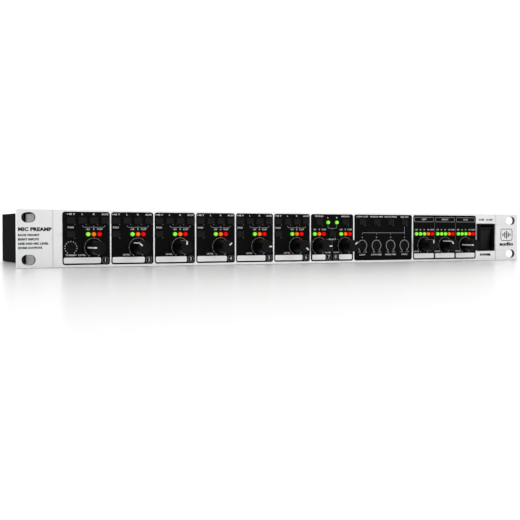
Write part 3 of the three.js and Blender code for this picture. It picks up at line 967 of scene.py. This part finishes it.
def make_xlr_sockets():
    socket = xlr_mesh()
    shells = bmesh.new()
    metal = bmesh.new()
    for x in XLR_X:
        shells.from_mesh(socket)
        fresh = shells.verts[-len(socket.vertices):]
        bmesh.ops.translate(shells, verts=fresh, vec=(x, FACE, XLR_Z))
        add_box(metal, x - 2.4 * MM, x + 2.4 * MM, behind(166), behind(177.5), XLR_Z + 7.6 * MM,
                XLR_Z + 9.5 * MM, 0.3 * MM)
        for turn in (180, 60, -60):
            pin_x, pin_z = arc(x, XLR_Z, 4 * MM, turn, turn, 1)[0]
            sleeve = [(1.15, 168.1), (1.15, 176.4), (0.8, 176.4), (0.8, 168.1)]
            add_turned(metal, [(r * MM, behind(y)) for r, y in sleeve], pin_x, pin_z, 16, True)
    mesh = finished(shells, "mic_sockets", SOCKET_PLASTIC)
    add_piece("mic_sockets", mesh, "case", "connector_black", "rear_panel")
    mesh = finished(metal, "mic_contacts", NICKEL)
    add_piece("mic_contacts", mesh, "case", "connector_metal", "rear_panel")


def make_phono_sockets():
    sleeve = [(4.5, 175.3), (4.5, 176.9), (4.15, 177.2), (4.15, 184.1), (3.9, 184.5),
              (3.5, 184.5), (3.3, 184.2), (3.3, 175.3)]
    core = [(3.25, 160), (3.25, 183.4), (3.0, 183.7), (1.8, 183.7), (1.6, 183.4), (1.6, 175.5),
            (0.2, 175.5)]
    metal = bmesh.new()
    for x in PHONO_X:
        for z in PHONO_Z:
            add_turned(metal, [(r * MM, behind(y)) for r, y in sleeve], x, z, 36, True)
    mesh = finished(metal, "phono_sleeves", NICKEL)
    add_piece("phono_sleeves", mesh, "case", "connector_metal", "rear_panel")
    finishes = (("phono_cores_left", WHITE_PLASTIC, "print_white"),
                ("phono_cores_right", RED_PLASTIC, "lamp_red"))
    for (name, material, slot), z in zip(finishes, PHONO_Z[::-1]):
        bm = bmesh.new()
        for x in PHONO_X:
            add_turned(bm, [(r * MM, behind(y)) for r, y in core], x, z, 36)
        add_piece(name, finished(bm, name, material), "case", slot, "rear_panel")


def make_jack_sockets():
    barrel = [(0.2, 151), (4.4, 151), (4.4, 180.1), (4.1, 180.5), (3.5, 180.5), (3.3, 180.2),
              (3.3, 153.5), (0.2, 153.5)]
    bushes = bmesh.new()
    nuts = bmesh.new()
    for x in JACK_X:
        add_turned(bushes, [(r * MM, behind(y)) for r, y in barrel], x, JACK_Z, 40)
        hexagon = circle(x, JACK_Z, 5.5 * MM, 6)
        bore = circle(x, JACK_Z, 4.45 * MM, 30)
        add_plate(nuts, hexagon, [bore], behind(179.2), REAR, 0.2 * MM)
    mesh = finished(bushes, "jack_bushes", SOCKET_PLASTIC)
    add_piece("jack_bushes", mesh, "case", "connector_black", "rear_panel")
    mesh = finished(nuts, "jack_nuts", NICKEL)
    add_piece("jack_nuts", mesh, "case", "connector_metal", "rear_panel")


def make_inlet():
    x, z = INLET_AT
    rim = 0.4 * MM
    outer = (14 * MM, 10 * MM)
    cavity = (12.1 * MM, 8.1 * MM)
    steps = [(outer, 0, 0.8, 0.8, 150), (outer, 0, 0.8, 0.8, 177.6), (outer, rim, 0.8, 0.8, 178),
             (cavity, -rim, 1.0, 4.4, 178), (cavity, 0, 0.8, 4.2, 177.6), (cavity, 0, 0.8, 4.2, 161)]
    bm = bmesh.new()
    sections = []
    for (half_x, half_z), inset, low, high, y in steps:
        loop = eight_sided(x, z, half_x - inset, half_z - inset, low * MM, high * MM)
        sections.append(standing(loop, behind(y)))
    add_loft(bm, sections)
    mesh = finished(bm, "mains_inlet", SOCKET_PLASTIC)
    add_piece("mains_inlet", mesh, "case", "connector_black", "rear_panel")
    blades = bmesh.new()
    for step_x, step_z in ((0, 4), (-7, -2), (7, -2)):
        blade_x, blade_z = x + step_x * MM, z + step_z * MM
        add_box(blades, blade_x - MM, blade_x + MM, behind(160.5), behind(176), blade_z - 2 * MM,
                blade_z + 2 * MM, 0.4 * MM)
    mesh = finished(blades, "inlet_blades", NICKEL)
    add_piece("inlet_blades", mesh, "case", "connector_metal", "rear_panel")


def make_main_board():
    """The board behind the connectors, with the parts that stand on it."""
    low, high = BOARD_Z
    board = bmesh.new()
    add_box(board, -206 * MM, 206 * MM, behind(92), behind(172), low, high, 0.3 * MM)
    mesh = finished(board, "main_circuit_board", BOARD_GREEN)
    add_piece("main_circuit_board", mesh, "case", "circuit_board", "rear_panel")
    blocks = bmesh.new()
    for x in XLR_X:
        add_box(blocks, x - 5 * MM, x + 5 * MM, behind(120), behind(127), high, 11.3 * MM)
    add_box(blocks, -40 * MM, 10 * MM, behind(100), behind(106), high, 16.9 * MM)
    add_box(blocks, PHONO_X[0] - 6.8 * MM, PHONO_X[1] + 6.8 * MM, behind(160), behind(175.2),
            high, 36 * MM)
    for x in JACK_X:
        for side in (-1, 1):
            edges = sorted((x + side * 4.5 * MM, x + side * 8 * MM))
            add_box(blocks, *edges, behind(150), behind(175.2), high, 27 * MM)
    mesh = finished(blocks, "board_parts", SOCKET_PLASTIC)
    add_piece("board_parts", mesh, "case", "connector_black", "rear_panel")
    core = bmesh.new()
    for i in range(16):
        y = 102.3 + 2.25 * i
        add_box(core, 132 * MM, 168 * MM, behind(y), behind(y + 1.9), 9 * MM, 36 * MM, 0.2 * MM)
    mesh = finished(core, "transformer_core", ZINC)
    add_piece("transformer_core", mesh, "case", "zinc_steel", "rear_panel")
    bobbin = bmesh.new()
    add_box(bobbin, 137 * MM, 163 * MM, behind(96), behind(144), 11 * MM, 33 * MM, 2 * MM)
    mesh = finished(bobbin, "transformer_winding", GOLD)
    add_piece("transformer_winding", mesh, "case", "gold_contact", "rear_panel")
    cans = bmesh.new()
    for y in (106, 128):
        rows = [(7.6, 9.0), (8.0, 9.4), (8.0, 10.6), (7.5, 11.0), (8.0, 11.4), (8.0, 33.5), (7.6, 34.0),
                (1.0, 34.0)]
        sections = []
        for r, z in rows:
            loop = circle(184 * MM, behind(y), r * MM, 36)
            sections.append([(px, py, z * MM) for px, py in loop])
        add_loft(cans, sections)
    mesh = finished(cans, "smoothing_capacitors", SOCKET_PLASTIC)
    add_piece("smoothing_capacitors", mesh, "case", "connector_black", "rear_panel")


def print_rear():
    ink = Ink("rear_print", "print_white", WHITE_INK, behind=True)
    for i, x in enumerate(XLR_X):
        ink.text(f"MIC IN {i + 1}", x, 5.6 * MM, 1.7 * MM, wide=1.15)
    for i, x in enumerate(PHONO_X):
        ink.text(str(7 + i), x, 5.6 * MM, 1.7 * MM)
    ink.text("STEREO IN", sum(PHONO_X) / 2, 22.0 * MM, 1.2 * MM, wide=1.0)
    for x, words in zip(JACK_X, ("LEFT", "RIGHT", "AUX")):
        ink.text(words, x, 8.6 * MM, 1.7 * MM, wide=1.15)
    ink.text("OUTPUTS", JACK_X[1], 29.0 * MM, 1.7 * MM, wide=1.15)
    ink.line([(JACK_X[0], 27.0 * MM), (JACK_X[-1], 27.0 * MM)], 0.3 * MM)
    ink.text("MAINS", INLET_AT[0], 5.6 * MM, 1.7 * MM, wide=1.15)
    ink.finish()


def make_screws():
    """Pan-head screws with a cross recess, in the rear plate and the cover's top."""
    profile = [(2.6, 0.0), (2.6, 0.25), (2.3, 0.55), (1.6, 0.75), (0.3, 0.8)]
    bm = bmesh.new()
    add_turned(bm, [(r * MM, y * MM) for r, y in profile], sides=28)
    head = finished(bm, "screw", SCREW_STEEL)
    tool = bmesh.new()
    wide, half = 0.3 * MM, 1.5 * MM
    cross = [(-wide, half), (wide, half), (wide, wide), (half, wide), (half, -wide), (wide, -wide),
             (wide, -half), (-wide, -half), (-wide, -wide), (-half, -wide), (-half, wide),
             (-wide, wide)]
    add_plate(tool, cross, [], 0.35 * MM, 1.0 * MM)
    head = carved(head, finished(tool, "cross", SCREW_STEEL))
    upwards = Matrix.Rotation(math.radians(90), 4, "X")
    places = []
    for x in (-207.5, -15.5, 28, 125, 165, 207.5):
        places.append(Matrix.Translation((x * MM, REAR, (12 if abs(x) > 200 else 9) * MM)))
    for x in (-190, -65, 65, 190):
        for y in (10, 172):
            places.append(Matrix.Translation((x * MM, behind(y), COVER_HIGH.z - 0.1 * MM)) @ upwards)
    joined = bmesh.new()
    for place in places:
        copy = head.copy()
        copy.transform(place)
        joined.from_mesh(copy)
        bpy.data.meshes.remove(copy)
    mesh = finished(joined, "case_screws", SCREW_STEEL)
    add_piece("case_screws", mesh, "case", "screw_steel")


def make_rear():
    make_rear_plate()
    make_xlr_sockets()
    make_phono_sockets()
    make_jack_sockets()
    make_inlet()
    make_main_board()
    print_rear()
    make_screws()


# ------------------------------------------------------------------ case and switch


def make_case():
    dress("chassis_tray", ZINC, 0.3 * MM)
    dress("top_cover", BLACK_PAINT, 0.35 * MM, 3)
    dress("control_board", BOARD_GREEN)
    dress("power_switch_housing", HOUSING_PLASTIC, 0.25 * MM, 3)
    dress("power_rocker", SWITCH_PLASTIC, 0.35 * MM, 3)


# ------------------------------------------------------------------ stage and light

FLOOR_ROUGH = 0.26
FLOOR_GLOSS = 0.8
SKY_FROM, SKY_TO = -0.5, 0.2
SKY_NEAR, SKY_FAR = 0.37, 1.3
LIGHTS = [
    ("key", (0.9, -1.9, 0.7), (0.05, 0, 0.02), 1.4, 9.0),
    ("fill", (-1.2, -1.6, 0.8), (0, 0, 0), 1.4, 2.0),
]


def floor_finish():
    """A pale satin floor whose gloss hardly varies."""
    made, tree, bsdf = shader("pale_floor")
    broad = noise(tree, 3)
    tree.links.new(blend_colours(tree, broad, (0.92,) * 3, (0.94,) * 3), bsdf.inputs["Base Color"])
    bsdf.inputs["Roughness"].default_value = FLOOR_ROUGH
    bsdf.inputs["Specular IOR Level"].default_value = FLOOR_GLOSS
    return made


def make_stage():
    """A wide floor, just under the case, that stops beneath the lights in front."""
    bm = bmesh.new()
    reach = 60.0
    front = -1.9
    drop = -0.1 * MM
    corners = [(-reach, front), (reach, front), (reach, reach), (-reach, reach)]
    bm.faces.new([bm.verts.new((x, y, drop)) for x, y in corners])
    pale = floor_finish()
    floor = bpy.data.objects.new("floor", finished(bm, "floor", pale))
    SCENE.collection.objects.link(floor)


def area_light(name, location, target, size, energy):
    """A soft square light that the camera doesn't see, aimed at a target."""
    data = bpy.data.lights.new(name, "AREA")
    data.shape = "SQUARE"
    data.size = size
    data.energy = energy
    light = bpy.data.objects.new(name, data)
    light.location = location
    aim = Vector(target) - Vector(location)
    light.rotation_euler = aim.to_track_quat("-Z", "Y").to_euler()
    light.visible_camera = False
    SCENE.collection.objects.link(light)


def make_sky():
    """A white studio that is greyer on the camera's side, and always white as a backdrop."""
    world = bpy.data.worlds.new("studio")
    world.use_nodes = True
    tree = world.node_tree
    background = tree.nodes["Background"]
    background.inputs["Color"].default_value = (1, 1, 1, 1)
    direction = tree.nodes.new("ShaderNodeTexCoord")
    parts = tree.nodes.new("ShaderNodeSeparateXYZ")
    tree.links.new(direction.outputs["Generated"], parts.inputs["Vector"])
    shade = tree.nodes.new("ShaderNodeMapRange")
    shade.inputs["From Min"].default_value = SKY_FROM
    shade.inputs["From Max"].default_value = SKY_TO
    shade.inputs["To Min"].default_value = SKY_NEAR
    shade.inputs["To Max"].default_value = SKY_FAR
    tree.links.new(parts.outputs["Y"], shade.inputs["Value"])
    path = tree.nodes.new("ShaderNodeLightPath")
    brightest = tree.nodes.new("ShaderNodeMath")
    brightest.operation = "MAXIMUM"
    tree.links.new(shade.outputs["Result"], brightest.inputs[0])
    tree.links.new(path.outputs["Is Camera Ray"], brightest.inputs[1])
    tree.links.new(brightest.outputs["Value"], background.inputs["Strength"])
    SCENE.world = world


def make_light():
    make_sky()
    for name, location, target, size, energy in LIGHTS:
        area_light(name, location, target, size, energy)
    SCENE.view_settings.view_transform = "Standard"


make_panel()
make_fields()
make_print()
make_lamps()
make_knobs()
make_keys()
make_trimmers()
make_case()
make_rear()
make_stage()
make_light()
